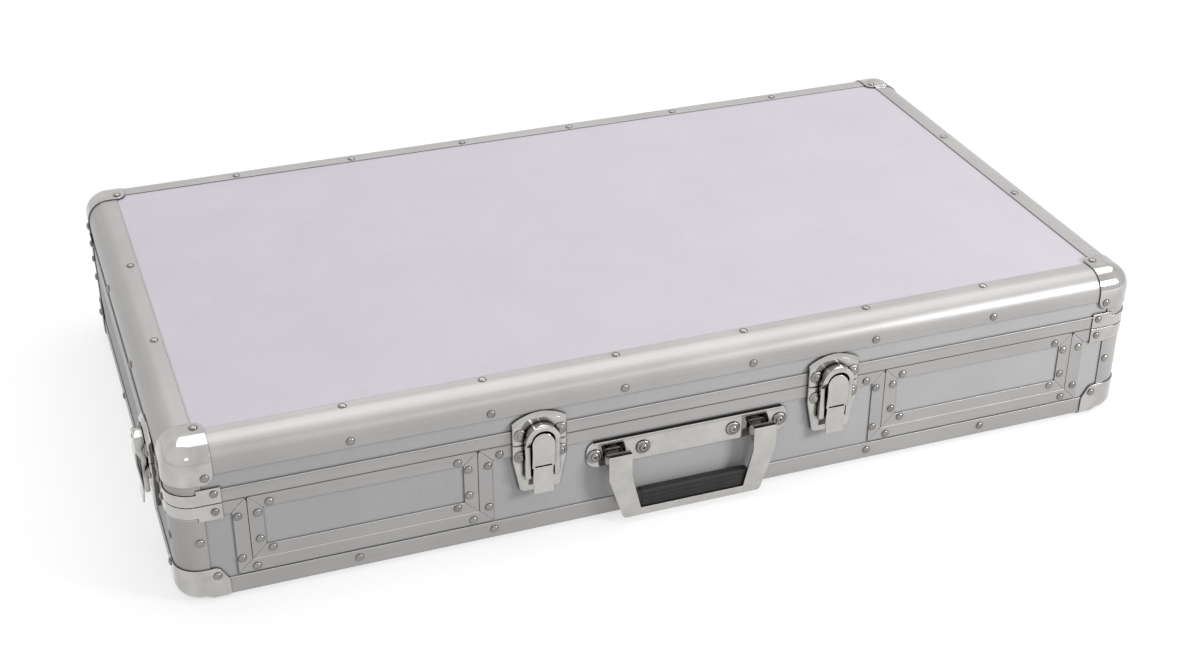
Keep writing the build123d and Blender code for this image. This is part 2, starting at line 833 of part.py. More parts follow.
def lever():
    """Latch lever: a bent face with two cheeks, pivoted at its nose, and a slot across its waist."""
    half = lever_width / 2
    face = side_slab(lever_side(lever_sheet), -half, half)
    for side in (-1, 1):
        x0, x1 = sorted((side * cheek_half, side * (cheek_half - cheek_sheet)))
        face += side_slab(lever_cheek(), x0, x1)
    body = face & front_slab(lever_outline(), 0, lever_out + 9)
    slot_half = cheek_half - cheek_sheet
    slot = z_joint - lever_slot_down
    back = lever_out - lever_waist_back - 2 * lever_sheet
    return body - block(-slot_half, slot_half, -lever_out - 9, -back, slot, slot + lever_slot_height)


def lever_pin():
    """Pin through the ears and the lever's cheeks."""
    return cross_bar(lever_pivot, lever_pin_radius, -cheek_half, cheek_half)


def bail_loop():
    """Front view of the bail: an arch on two straight legs with rounded feet."""
    outer = bail_half
    inner = bail_half - bail_bar
    arch = z_joint + bail_top - outer
    low = bail_pivot[1] - bail_foot_down - 3
    return make_face([
        Line((-outer, low), (-outer, arch)),
        ThreePointArc((-outer, arch), (0, arch + outer), (outer, arch)),
        Line((outer, arch), (outer, low)),
        Line((outer, low), (inner, low)),
        Line((inner, low), (inner, arch)),
        ThreePointArc((inner, arch), (0, arch + inner), (-inner, arch)),
        Line((-inner, arch), (-inner, low)),
        Line((-inner, low), (-outer, low)),
    ])


def bail_side():
    """Side view of the bail: thin legs with a round foot, and a deep rounded top."""
    low = bail_pivot[1]
    top = z_joint + bail_top
    bulge = z_joint + bail_bulge_up
    rim = top - bail_rim_drop
    foot = (bail_front - bail_back) / 2
    return make_face([
        Line((bail_rim_back, top), (bail_nose - bail_brow, top)),
        RadiusArc((bail_nose - bail_brow, top), (bail_nose, top - bail_brow), bail_brow),
        Polyline((bail_nose, top - bail_brow), (bail_nose, bulge), (bail_front, bulge - bail_bulge_up)),
        Line((bail_front, bulge - bail_bulge_up), (bail_front, low)),
        ThreePointArc((bail_front, low), (bail_front - foot, low - foot), (bail_back, low)),
        Line((bail_back, low), (bail_back, rim)),
        Line((bail_back, rim), (bail_rim_back, rim)),
        Line((bail_rim_back, rim), (bail_rim_back, top)),
    ])


def bail():
    """Thick loop that the lever draws down; its arch is hollow behind and drops over the keeper's hook."""
    body = side_slab(bail_side(), -bail_half, bail_half) & front_slab(bail_loop(), 0, bail_nose + 9)
    top = z_joint + bail_top
    back = bail_rim_back + bail_rim
    front = hook_out + hook_side_clearance / 2
    roof = top - bail_roof
    half = hook_half_width + hook_side_clearance
    body -= block(-half, half, -front, -back, z_joint, roof)
    reach = cheek_half - cheek_sheet
    for sign in (-1, 1):
        x0, x1 = sorted((sign * (bail_half - bail_bar), sign * reach))
        body += cross_bar(bail_pivot, trunnion_radius, x0, x1)
    return body


def rivet(radius):
    """Rivet head on Y = 0, with few faces because it repeats."""
    seat = RegularPolygon(radius, rivet_sides)
    crown = Pos(0, 0, rivet_rise) * RegularPolygon(rivet_crown * radius, rivet_sides)
    return Rot(90, 0, 0) * loft([seat, crown], ruled=True)


def rivet_pair(z):
    """Two rivet heads on a latch plate."""
    half = plate_width / 2 - latch_rivet_edge
    return [Pos(x, -plate_proud, z) * rivet(latch_rivet_radius) for x in (-half, half)]


def latch_places():
    """Where each latch goes: two in front and one on each side."""
    side_latch_y = side_latch_from_front - half_depth
    return {
        "front_left": Pos(-front_latch_x, -half_depth, 0),
        "front_right": Pos(front_latch_x, -half_depth, 0),
        "side_left": Pos(-half_length, side_latch_y, 0) * Rot(0, 0, -90),
        "side_right": Pos(half_length, side_latch_y, 0) * Rot(0, 0, 90),
    }


# Handle, drawn with the case face on Y = 0

def handle_plate():
    """Backing plate with a lip folded out along its top and two pairs of ears."""
    half = handle_plate_length / 2
    low = handle_plate_low
    high = handle_plate_high
    face = Pos(0, (low + high) / 2) * RectangleRounded(2 * half, high - low, handle_plate_corner)
    back = -skin
    front = back + handle_plate_sheet
    body = front_slab(face, back, front)
    lip_half = half - handle_plate_corner + 4
    body += block(-lip_half, lip_half, -front - handle_lip, -back, high - handle_plate_sheet, high)
    out, level = handle_pivot
    boss = handle_pin_radius + handle_boss_wall
    ear = outline([
        (back, level - 2 * boss), (out, level - boss), (out + boss, level - boss / 2),
        (out + boss, level + boss / 2), (out, level + boss), (out - boss, level), (back, level - 1),
    ])
    ear -= Pos(*handle_pivot) * Circle(handle_pin_radius + running_clearance)
    outer = handle_arm_width / 2 - handle_sheet - ear_clearance
    for arm in (-1, 1):
        for side in (-1, 1):
            edges = (side * outer, side * (outer - handle_plate_sheet))
            body += Pos(arm * handle_arm_x, 0, 0) * side_slab(ear, min(edges), max(edges))
    return body


def handle_rivets():
    """Heads of the four rivets that hold the handle plate, one each side of both arms."""
    front = handle_plate_sheet - skin
    level = handle_plate_low + handle_rivet_up
    inner = handle_arm_x - handle_arm_width / 2 - handle_rivet_inner
    outer = handle_arm_x + handle_arm_width / 2 + handle_rivet_outer
    return [Pos(x, -front, level) * rivet(rivet_radius) for x in (-outer, -inner, inner, outer)]


def handle_outline():
    """Front view of the handle frame: two arms that lean inwards to a bottom rail."""
    outer = handle_arm_x + handle_arm_width / 2
    inner = handle_arm_x - handle_arm_width / 2
    top = handle_pivot[1] + handle_roof_up + handle_sheet
    bend = handle_pivot[1] - handle_bend_down
    low = z_bottom + handle_bottom
    rail = low + handle_rail
    outside = outline([
        (-outer, top), (-outer, bend), (-outer + handle_taper, low), (outer - handle_taper, low),
        (outer, bend), (outer, top),
    ])
    corners = outside.vertices().filter_by(lambda v: v.Y < low + 1)
    outside = fillet(corners, handle_corner)
    inside = outline([
        (-inner, top + 9), (-inner, bend), (-inner + handle_inner_taper, rail),
        (inner - handle_inner_taper, rail), (inner, bend), (inner, top + 9),
    ])
    return outside - inside


def handle_cheek():
    """Side view of the cheeks that carry the handle's pins."""
    out, level = handle_pivot
    top = level + handle_roof_up + handle_sheet
    low = level - handle_cheek_down
    back = handle_out - handle_cheek_depth
    front = handle_out - handle_sheet / 2
    cheek = outline([
        (front, top), (out, top), (back, level + 2), (back, level - 3), (front - 3, low), (front, low)
    ])
    return cheek - Pos(*handle_pivot) * Circle(handle_pin_radius + running_clearance)


def handle_frame():
    """Pressed steel frame: flat front, cheeks and a roof on top of each arm, and a shelf under the grip."""
    body = front_slab(handle_outline(), handle_out - handle_sheet, handle_out)
    half = handle_arm_width / 2
    roof = handle_pivot[1] + handle_roof_up
    for arm in (-1, 1):
        x = arm * handle_arm_x
        body += block(
            x - half, x + half, -handle_out, handle_roof_depth - handle_out, roof, roof + handle_sheet
        )
        for side in (-1, 1):
            edges = (side * half, side * (half - handle_sheet))
            body += Pos(arm * handle_arm_x, 0, 0) * side_slab(handle_cheek(), min(edges), max(edges))
    shelf_half = grip_length / 2
    bottom = z_bottom + handle_bottom
    body += block(
        -shelf_half, shelf_half, -(handle_out - handle_sheet / 2), -(handle_out - handle_cheek_depth),
        bottom, bottom + handle_sheet,
    )
    return body


def handle_grip():
    """Ribbed plastic grip lying on the shelf behind the bottom rail."""
    back = handle_out - handle_cheek_depth
    front = handle_out - handle_sheet
    low = z_bottom + handle_bottom + handle_sheet
    high = low + grip_height
    face = outline([(back, low), (front, low), (front, high), (back, high)])
    face = fillet(face.vertices().filter_by(lambda v: v.Y > high - 1), grip_edge)
    pitch = grip_height / (grip_ribs + 1)
    for index in range(1, grip_ribs + 1):
        level = low + index * pitch
        face -= outline([
            (front + 1, level - grip_rib_depth - 1), (front - grip_rib_depth, level),
            (front + 1, level + grip_rib_depth + 1),
        ])
    return side_slab(face, -grip_length / 2, grip_length / 2)


def handle_pins():
    """One pin through each arm's cheeks and ears."""
    half = handle_arm_width / 2
    return [
        cross_bar(handle_pivot, handle_pin_radius, arm * handle_arm_x - half, arm * handle_arm_x + half)
        for arm in (-1, 1)
    ]


# Hinges, drawn with the case face on Y = 0 and turned to the back

def hinge_axis():
    return (hinge_axis_out, z_joint)


def hinge_leaf(up):
    """One leaf of a hinge: a plate with its share of the knuckles."""
    sign = 1 if up else -1
    half = hinge_width / 2
    z0, z1 = sorted((z_joint + sign * hinge_edge_gap, z_joint + sign * hinge_leaf_height))
    body = block(-half, half, -hinge_sheet, 0, z0, z1)
    neck = outline([
        (0, z_joint + sign * hinge_edge_gap), (0, z_joint + sign * (hinge_edge_gap + 1.5)),
        (hinge_sheet, z_joint + sign * (hinge_edge_gap + 1.5)),
        (hinge_axis_out + 1.2, z_joint + sign * (hinge_knuckle_radius - 0.3)),
        (hinge_axis_out - 1.5, z_joint + sign * 1.5),
    ])
    eye = neck + Pos(*hinge_axis()) * Circle(hinge_knuckle_radius)
    eye -= Pos(*hinge_axis()) * Circle(hinge_pin_radius + running_clearance)
    pitch = hinge_width / hinge_knuckles
    for index in range(hinge_knuckles):
        if (index % 2 == 1) == up:
            x0 = -half + index * pitch + hinge_knuckle_gap / 2
            body += side_slab(eye, x0, x0 + pitch - hinge_knuckle_gap)
    return body


def hinge_pin():
    return cross_bar(hinge_axis(), hinge_pin_radius, -hinge_width / 2, hinge_width / 2)


def at_back(make):
    """The same hinge piece at both hinge places on the back."""
    return [Pos(side * hinge_x, half_depth, 0) * Rot(0, 0, 180) * make for side in (-1, 1)]


def write_base():
    for name, wall in base_walls().items():
        save(f"base_wall_{name}", wall)
    save("base_floor", base_floor())
    for name, strip in four_sides(bottom_angle).items():
        save(f"bottom_angle_{name}", strip)
    post = corner_post(z_bottom + foot_ball_radius, z_joint - rim_height)
    save("base_corner_posts", *four_corners(post))
    centre, around = base_rims()
    save("base_rim_front", *centre)
    save("base_rim", *around)
    for side, name in ((-1, "left"), (1, "right")):
        save(f"opening_edging_{name}", *opening_edging(side))
        save(f"front_panel_{name}", panel_board(side))
        save(f"front_panel_frame_{name}", *panel_frame(side))
        save(f"bay_divider_{name}", divider(side))
    save("foot_corners", *four_corners(foot_corner()))
    high = z_joint - brace_gap
    brace = rim_brace(high - brace_band, high, high - brace_tab, high)
    save("base_rim_braces", *four_corners(brace))
    save("floor_foam", *floor_pads())


def write_lid():
    save("lid_panel", lid_panel())
    save("lid_walls", *lid_walls().values())
    for name, strip in four_sides(edge_profile).items():
        save(f"lid_edge_{name}", strip)
    post = corner_post(z_joint + rim_height, z_top - edge_radius)
    save("lid_corner_posts", *four_corners(post))
    save("lid_rim", lid_rim())
    save("lid_corners", *four_corners(lid_corner()))
    low = z_joint + brace_gap
    brace = rim_brace(low, low + brace_band, low, low + brace_tab)
    save("lid_rim_braces", *four_corners(brace))
    save("lid_foam", lid_pad())


def write_latches():
    places = latch_places()
    plate = latch_base()
    arm = lever()
    loop = bail()
    for name, place in places.items():
        save(f"latch_plate_{name}", place * plate)
        save(f"latch_lever_{name}", place * arm)
        save(f"latch_bail_{name}", place * loop)
    save("latch_keepers", *[place * keeper() for place in places.values()])
    save("latch_lever_pins", *[place * lever_pin() for place in places.values()])
    base_rivets = rivet_pair(z_joint - plate_rivet_down)
    keeper_rivets = rivet_pair(z_joint + keeper_rivet_up)
    save("latch_plate_rivets", *[place * one for place in places.values() for one in base_rivets])
    save("keeper_rivets", *[place * one for place in places.values() for one in keeper_rivets])


def write_handle_and_hinges():
    front = Pos(0, -half_depth, 0)
    save("handle_plate", front * handle_plate())
    save("handle_rivets", *[front * one for one in handle_rivets()])
    save("handle_frame", front * handle_frame())
    save("handle_grip", front * handle_grip())
    save("handle_pins", *[front * pin for pin in handle_pins()])
    save("hinge_base_leaves", *at_back(hinge_leaf(False)))
    save("hinge_lid_leaves", *at_back(hinge_leaf(True)))
    save("hinge_pins", *at_back(hinge_pin()))


def main():
    os.makedirs("parts", exist_ok=True)
    write_base()
    write_lid()
    write_latches()
    write_handle_and_hinges()


main()
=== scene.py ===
import math

import bmesh
import bpy
from mathutils import Matrix, Vector, noise


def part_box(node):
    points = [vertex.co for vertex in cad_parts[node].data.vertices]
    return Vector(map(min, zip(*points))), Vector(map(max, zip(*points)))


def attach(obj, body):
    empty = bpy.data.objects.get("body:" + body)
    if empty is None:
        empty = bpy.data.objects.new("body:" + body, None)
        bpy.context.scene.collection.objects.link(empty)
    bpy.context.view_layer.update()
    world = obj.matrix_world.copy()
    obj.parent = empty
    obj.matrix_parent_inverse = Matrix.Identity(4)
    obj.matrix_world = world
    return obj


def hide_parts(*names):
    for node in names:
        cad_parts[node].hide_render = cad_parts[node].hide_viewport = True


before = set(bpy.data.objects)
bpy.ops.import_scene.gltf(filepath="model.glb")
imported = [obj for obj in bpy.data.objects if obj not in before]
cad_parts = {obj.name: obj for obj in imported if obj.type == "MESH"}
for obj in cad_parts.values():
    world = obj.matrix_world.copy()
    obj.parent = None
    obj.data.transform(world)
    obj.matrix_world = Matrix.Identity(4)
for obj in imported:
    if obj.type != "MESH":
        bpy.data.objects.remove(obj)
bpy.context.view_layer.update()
MM = 0.001

# Faces of the closed case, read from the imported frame
rim_low, rim_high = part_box("base_corner_posts")
HALF_LENGTH = rim_high.x
FRONT = rim_low.y
BACK = rim_high.y
MIDDLE = (FRONT + BACK) / 2
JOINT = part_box("lid_rim")[0].z
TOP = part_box("lid_edge_front")[1].z
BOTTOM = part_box("bottom_angle_front")[0].z

# Sheet metal that rivet heads stand on
CORNER_SHELL = 1.5 * MM
BRACE_SHEET = 1.2 * MM
HINGE_LEAF = 1.6 * MM

# Rivet heads: radius and rise
PROFILE_RIVET = (4.0 * MM, 2.3 * MM)
LATCH_RIVET = (3.75 * MM, 2.1 * MM)
BRACE_RIVET = (3.7 * MM, 2.3 * MM)
HINGE_RIVET = (3.2 * MM, 1.2 * MM)

# Form of the heads: how far they reach into the face, the step at the rim, and the mesh's fineness
HEAD_SUNK = 0.3 * MM
HEAD_STEP = 0.25 * MM
HEAD_BANDS = 5
HEAD_SEGMENTS = 20
POP_SEGMENTS = 28

# Rows of rivets: distances from the middle of the case, and heights on it
LID_ROW_X = (66.5 * MM, 199.5 * MM, 332.5 * MM)
BASE_ROW_X = (199.5 * MM, 332.0 * MM)
SIDE_ROW_Y = 80.0 * MM
FLANGE_Z = TOP - 22.3 * MM
ANGLE_Z = BOTTOM + 11.5 * MM

# Rivets on top: how far they are in from the long sides, from the short sides, and from both at the corners
TOP_INSET = 26.0 * MM
TOP_SIDE_INSET = 24.5 * MM
CORNER_TOP_INSET = 33.5 * MM

# Rivets round the corners: how far they are in from each edge, their height, and the sheet that they stand on
CORNER_POST = (23.6 * MM, BOTTOM + 64.5 * MM, 0.0)
FOOT_CORNER = (35.5 * MM, BOTTOM + 25.5 * MM, CORNER_SHELL)
BASE_BRACE = (40.0 * MM, BOTTOM + 96.2 * MM, BRACE_SHEET)
LID_BRACE = (40.5 * MM, BOTTOM + 115.5 * MM, BRACE_SHEET)
LID_CORNER = (34.3 * MM, BOTTOM + 134.0 * MM, CORNER_SHELL)

# Hinges: half a leaf's length, and the pitch of its rivets along it and from the joint
HINGE_HALF = 35.0 * MM
HINGE_PITCH = 24.0 * MM

# Grip ends
GRIP_REACH = 60.0 * MM
GRIP_END_INSET = 0.6 * MM
GRIP_END_ROUND = 2.0 * MM
GRIP_END_LAP = 1.0 * MM
GRIP_ARC_STEPS = 4

# Foam: mesh step, length of an egg-crate wave, width of the rounded edge, and the gap beside a divider
FOAM_STEP = 8.0 * MM
FOAM_WAVE = 32.0 * MM
FOAM_EDGE = 4.0 * MM
FOAM_GAP = 0.3 * MM

# Drop of the foam's edge as a share of its width, and depth of the waves as a share of the pad's thickness
FOAM_EDGE_DROP = 0.35
FOAM_WAVE_DEPTH = 0.28

# Unevenness of the cut foam: its depth, and its scale in cells per metre
FOAM_UNEVEN = 0.35 * MM
FOAM_UNEVEN_SCALE = 30.0

# Painted shade in the groove between the rolled edges of both rims: half its width, and what is left of the
# colour in it
SEAM_HALF = 0.7 * MM
SEAM_SHADE = 0.18

# How much further up a rounded edge faces where the painted highlight starts, and where it is full
HIGHLIGHT_FROM = 0.12
HIGHLIGHT_FULL = 0.40

# Photograph's camera
IMAGE_WIDTH = 1200
FOCAL_PIXELS = 1866.36
SENSOR_WIDTH = 36.0
CAMERA_FROM_FRONT = (-611.2 * MM, -1395.3 * MM, 1084.7 * MM)
CAMERA_YAW = math.radians(20.397)
CAMERA_PITCH = math.radians(30.436)
CAMERA_ROLL = math.radians(0.305)
CLIP_NEAR = 0.05
CLIP_FAR = 100.0

# Floor: half its side in metres, its own grey, and the glow that is added where it is seen
FLOOR_HALF = 30.0
FLOOR_GREY = 0.45
FLOOR_LIFT = 0.66

# World: its level as light on the case, and its level where it is seen
WORLD_LIGHT = 0.35
WORLD_SEEN = 1.0


# Shader nodes

def shader_tree(name):
    """A new material with its Principled shader, node tree and row-frame coordinates."""
    material = bpy.data.materials.new(name)
    material.use_nodes = True
    tree = material.node_tree
    shader = tree.nodes["Principled BSDF"]
    place = tree.nodes.new("ShaderNodeTexCoord")
    return material, tree, shader, place.outputs["Object"]


def feed(tree, socket, value):
    """Set a socket to a number or a colour, or link another socket to it."""
    if isinstance(value, bpy.types.NodeSocket):
        tree.links.new(value, socket)
    elif isinstance(value, tuple):
        socket.default_value = (*value, 1.0)
    else:
        socket.default_value = value


def noise_node(tree, place, scale, detail=3.0, stretch=(1, 1, 1)):
    """Noise at a scale in cells per metre, stretched along the axes."""
    mapping = tree.nodes.new("ShaderNodeMapping")
    mapping.inputs["Scale"].default_value = stretch
    texture = tree.nodes.new("ShaderNodeTexNoise")
    texture.inputs["Scale"].default_value = scale
    texture.inputs["Detail"].default_value = detail
    tree.links.new(place, mapping.inputs["Vector"])
    tree.links.new(mapping.outputs["Vector"], texture.inputs["Vector"])
    return texture.outputs["Fac"]


def ramp_node(tree, value, limits, results=(0.0, 1.0)):
    """Map a value between two limits to the range of two results."""
    node = tree.nodes.new("ShaderNodeMapRange")
    node.inputs["From Min"].default_value, node.inputs["From Max"].default_value = limits
    node.inputs["To Min"].default_value, node.inputs["To Max"].default_value = results
    tree.links.new(value, node.inputs["Value"])
    return node.outputs["Result"]


def math_node(tree, operation, *values):
    """One arithmetic operation on numbers and sockets."""
    node = tree.nodes.new("ShaderNodeMath")
    node.operation = operation
    for socket, value in zip(node.inputs, values):
        feed(tree, socket, value)
    return node.outputs["Value"]


def mix_colours(tree, amount, first, second, blend="MIX"):
    """Mix or multiply two colours, each a tuple or a socket."""
    node = tree.nodes.new("ShaderNodeMix")
    node.data_type = "RGBA"
    node.blend_type = blend
    feed(tree, node.inputs["Factor"], amount)
    feed(tree, node.inputs["A"], first)
    feed(tree, node.inputs["B"], second)
    return node.outputs["Result"]


def upward(tree, vector):
    """The Z part of a vector."""
    node = tree.nodes.new("ShaderNodeSeparateXYZ")
    tree.links.new(vector, node.inputs["Vector"])
    return node.outputs["Z"]


def bevel_normal(tree, radius, samples):
    """The surface's direction, with its corners rounded off."""
    node = tree.nodes.new("ShaderNodeBevel")
    node.samples = samples
    node.inputs["Radius"].default_value = radius
    return node.outputs["Normal"]


def painted_crease_shade(tree, colour, reach, depth, closed=0.25, clear=0.85):
    """Painted shade: darken a colour in the narrow seams and creases that ambient occlusion finds."""
    hollow = tree.nodes.new("ShaderNodeAmbientOcclusion")
    hollow.samples = 8
    hollow.inputs["Distance"].default_value = reach
    shade = ramp_node(tree, hollow.outputs["AO"], (closed, clear), (depth, 1.0))
    return mix_colours(tree, 1.0, colour, shade, "MULTIPLY")


def painted_seam_shade(tree, place, colour):
    """Painted shade in the groove between the rolled edges of both rims, on their upright faces only."""
    distance = math_node(tree, "ABSOLUTE", math_node(tree, "SUBTRACT", upward(tree, place), JOINT))
    shade = ramp_node(tree, distance, (SEAM_HALF * 0.6, SEAM_HALF * 1.4), (SEAM_SHADE, 1.0))
    flatness = math_node(tree, "ABSOLUTE", upward(tree, place.node.outputs["Normal"]))
    level = ramp_node(tree, flatness, (0.5, 0.7))
    return mix_colours(tree, 1.0, colour, math_node(tree, "MAXIMUM", shade, level), "MULTIPLY")


def painted_edge_highlight(tree, place, colour, edge_highlight, radius, strength):
    """Paint a highlight along the upper edges by lightening a colour there."""
    turn = tree.nodes.new("ShaderNodeVectorTransform")
    turn.vector_type = "NORMAL"
    turn.convert_from = "WORLD"
    turn.convert_to = "OBJECT"
    tree.links.new(bevel_normal(tree, radius, samples=6), turn.inputs["Vector"])
    rounded = upward(tree, turn.outputs["Vector"])
    rise = math_node(tree, "SUBTRACT", rounded, upward(tree, place.node.outputs["Normal"]))
    mask = ramp_node(tree, rise, (HIGHLIGHT_FROM, HIGHLIGHT_FULL), (0.0, strength))
    return mix_colours(tree, mask, colour, edge_highlight)


def bump_node(tree, height, distance, edge_radius=0.0):
    """Bump from a height, over corners softened by a bevel."""
    node = tree.nodes.new("ShaderNodeBump")
    node.inputs["Strength"].default_value = 1.0
    node.inputs["Distance"].default_value = distance
    tree.links.new(height, node.inputs["Height"])
    if edge_radius:
        tree.links.new(bevel_normal(tree, edge_radius, samples=4), node.inputs["Normal"])
    return node.outputs["Normal"]


def feed_finish(tree, shader, colour, rough, bump):
    """Give a shader the colour, roughness and bump of its finish."""
    feed(tree, shader.inputs["Base Color"], colour)
    feed(tree, shader.inputs["Roughness"], rough)
    feed(tree, shader.inputs["Normal"], bump)


# Finishes: colours are linear, noise scales are in cells per metre

def satin_aluminium(name, stretch):
    """Anodised profile: faint drawn lines along its length, handling marks and soft patches."""
    material, tree, shader, place = shader_tree(name)
    dull, clean = (0.432, 0.422, 0.414), (0.478, 0.468, 0.459)
    # The last of these colours is the painted highlight of the upper edges
    speck, line, edge_highlight = (0.30, 0.30, 0.295), (0.36, 0.352, 0.345), (0.86, 0.85, 0.84)
    patches = noise_node(tree, place, scale=9.0, detail=4.0)
    marks = noise_node(tree, place, scale=260.0, detail=6.0)
    lines = noise_node(tree, place, scale=700.0, detail=3.0, stretch=stretch)
    colour = mix_colours(tree, ramp_node(tree, patches, (0.35, 0.65)), dull, clean)
    colour = mix_colours(tree, ramp_node(tree, marks, (0.70, 0.78), (0.0, 0.35)), colour, speck)
    # Painted highlight along the upper edges
    colour = painted_edge_highlight(tree, place, colour, edge_highlight, radius=1.8 * MM, strength=0.9)
    # Painted shade along the joint of lid and base
    colour = painted_seam_shade(tree, place, colour)
    colour = mix_colours(tree, ramp_node(tree, lines, (0.42, 0.62), (0.0, 0.22)), colour, line)
    # Painted shade in the seams and creases
    colour = painted_crease_shade(tree, colour, reach=2.5 * MM, depth=0.12, clear=0.90)
    rough = ramp_node(tree, patches, (0.3, 0.7), (0.34, 0.42))
    bump = bump_node(tree, lines, distance=0.03 * MM, edge_radius=0.9 * MM)
    feed_finish(tree, shader, colour, rough, bump)
    shader.inputs["Metallic"].default_value = 0.45
    return material


def laminate(name, light, dark, roughness):
    """Coated sheet on the boards: very fine orange peel with slight mottling."""
    material, tree, shader, place = shader_tree(name)
    dust_shade = 0.82
    dusty = tuple(value * dust_shade for value in dark)
    mottle = noise_node(tree, place, scale=14.0, detail=5.0)
    grain = noise_node(tree, place, scale=620.0, detail=2.0)
    colour = mix_colours(tree, ramp_node(tree, mottle, (0.35, 0.65)), light, dark)
    colour = mix_colours(tree, ramp_node(tree, grain, (0.36, 0.64), (0.0, 0.24)), colour, dusty)
    # Painted shade in the seams beside the profiles
    colour = painted_crease_shade(tree, colour, reach=3.0 * MM, depth=0.08, clear=0.96)
    rough = ramp_node(tree, mottle, (0.3, 0.7), (roughness - 0.03, roughness + 0.04))
    bump = bump_node(tree, grain, distance=0.02 * MM, edge_radius=0.3 * MM)
    feed_finish(tree, shader, colour, rough, bump)
    shader.inputs["Metallic"].default_value = 0.0
    shader.inputs["Specular IOR Level"].default_value = 0.35
    return material


def chrome(name, light, dark, roughness, edge=0.4 * MM, reach=2.4 * MM):
    """Nickel-chrome plate with faint haze, fingerprints and fine scratches."""
    material, tree, shader, place = shader_tree(name)
    # Colour of the painted highlight along the upper edges
    edge_highlight = (0.80, 0.78, 0.76)
    haze = noise_node(tree, place, scale=55.0, detail=5.0)
    scratch = noise_node(tree, place, scale=420.0, detail=3.0, stretch=(1.0, 1.0, 0.12))
    colour = mix_colours(tree, ramp_node(tree, haze, (0.35, 0.68)), light, dark)
    # Painted highlight along the upper edges
    colour = painted_edge_highlight(tree, place, colour, edge_highlight, radius=0.8 * MM, strength=0.7)
    # Painted shade and painted dark reflections in the seams beside steps
    colour = painted_crease_shade(tree, colour, reach, depth=0.02, closed=0.42, clear=0.93)
    rough = ramp_node(tree, haze, (0.3, 0.75), (roughness, roughness + 0.06))
    bump = bump_node(tree, scratch, distance=0.006 * MM, edge_radius=edge)
    feed_finish(tree, shader, colour, rough, bump)
    shader.inputs["Metallic"].default_value = 1.0
    return material


def grip_plastic():
    """Black moulded grip with a fine leathery texture, polished a little by hands."""
    material, tree, shader, place = shader_tree("grip_plastic")
    fresh, handled = (0.024, 0.023, 0.023), (0.034, 0.031, 0.030)
    grain = noise_node(tree, place, scale=1500.0, detail=3.0)
    wear = noise_node(tree, place, scale=40.0, detail=4.0)
    colour = mix_colours(tree, ramp_node(tree, wear, (0.35, 0.7)), fresh, handled)
    # Painted shade in the grip's grooves
    colour = painted_crease_shade(tree, colour, reach=3.0 * MM, depth=0.10)
    rough = ramp_node(tree, wear, (0.3, 0.7), (0.50, 0.34))
    bump = bump_node(tree, grain, distance=0.05 * MM, edge_radius=0.4 * MM)
    feed_finish(tree, shader, colour, rough, bump)
    shader.inputs["Specular IOR Level"].default_value = 0.30
    return material


def open_foam():
    """Charcoal polyurethane foam with open pores."""
    material, tree, shader, place = shader_tree("foam")
    painted_pore_shade, strut, faded = (0.012, 0.012, 0.013), (0.045, 0.045, 0.048), (0.030, 0.030, 0.032)
    cells = tree.nodes.new("ShaderNodeTexVoronoi")
    cells.inputs["Scale"].default_value = 650.0
    tree.links.new(place, cells.inputs["Vector"])
    depth = cells.outputs["Distance"]
    fade = noise_node(tree, place, scale=12.0, detail=4.0)
    # Painted shade in the open pores, darkest in the middle of each cell
    colour = mix_colours(tree, ramp_node(tree, depth, (0.1, 0.6)), painted_pore_shade, strut)
    colour = mix_colours(tree, ramp_node(tree, fade, (0.3, 0.7), (0.0, 0.4)), colour, faded)
    feed_finish(tree, shader, colour, 0.95, bump_node(tree, depth, distance=0.5 * MM))
    shader.inputs["Sheen Weight"].default_value = 0.25
    return material


def black_board():
    """Dividers: plywood under a black phenolic film with a fine woven print."""
    material, tree, shader, place = shader_tree("divider_board")
    dark, worn = (0.022, 0.020, 0.018), (0.034, 0.031, 0.028)
    weave = tree.nodes.new("ShaderNodeTexBrick")
    weave.inputs["Scale"].default_value = 420.0
    tree.links.new(place, weave.inputs["Vector"])
    fade = noise_node(tree, place, scale=18.0, detail=4.0)
    colour = mix_colours(tree, ramp_node(tree, fade, (0.3, 0.7)), dark, worn)
    rough = ramp_node(tree, fade, (0.3, 0.7), (0.42, 0.55))
    bump = bump_node(tree, weave.outputs["Fac"], distance=0.03 * MM, edge_radius=0.4 * MM)
    feed_finish(tree, shader, colour, rough, bump)
    return material


along_x = satin_aluminium("profile_along_x", stretch=(0.004, 1, 1))
along_y = satin_aluminium("profile_along_y", stretch=(1, 0.004, 1))
along_z = satin_aluminium("profile_along_z", stretch=(1, 1, 0.004))
top_sheet = laminate("top_laminate", (0.640, 0.612, 0.668), (0.618, 0.592, 0.646), roughness=0.56)
# The walls' sheet is the same laminate as the top's; its darker, greyer colour is painted shade
shaded_side_sheet = laminate("side_laminate", (0.598, 0.588, 0.594), (0.573, 0.563, 0.569), roughness=0.52)
bright = chrome("chrome", (0.50, 0.487, 0.470), (0.435, 0.423, 0.408), 0.07, edge=0.7 * MM, reach=6.0 * MM)
corner_chrome = chrome("corner_chrome", (0.52, 0.505, 0.49), (0.42, 0.41, 0.395), 0.05)
# The rivet heads' dark tone is a painted dark reflection
dark_reflection_rivet_metal = chrome("dark_reflection_rivet_metal", (0.31, 0.30, 0.285), (0.22, 0.213, 0.205), 0.06, edge=0.0)
black_grip = grip_plastic()
foam = open_foam()
board = black_board()


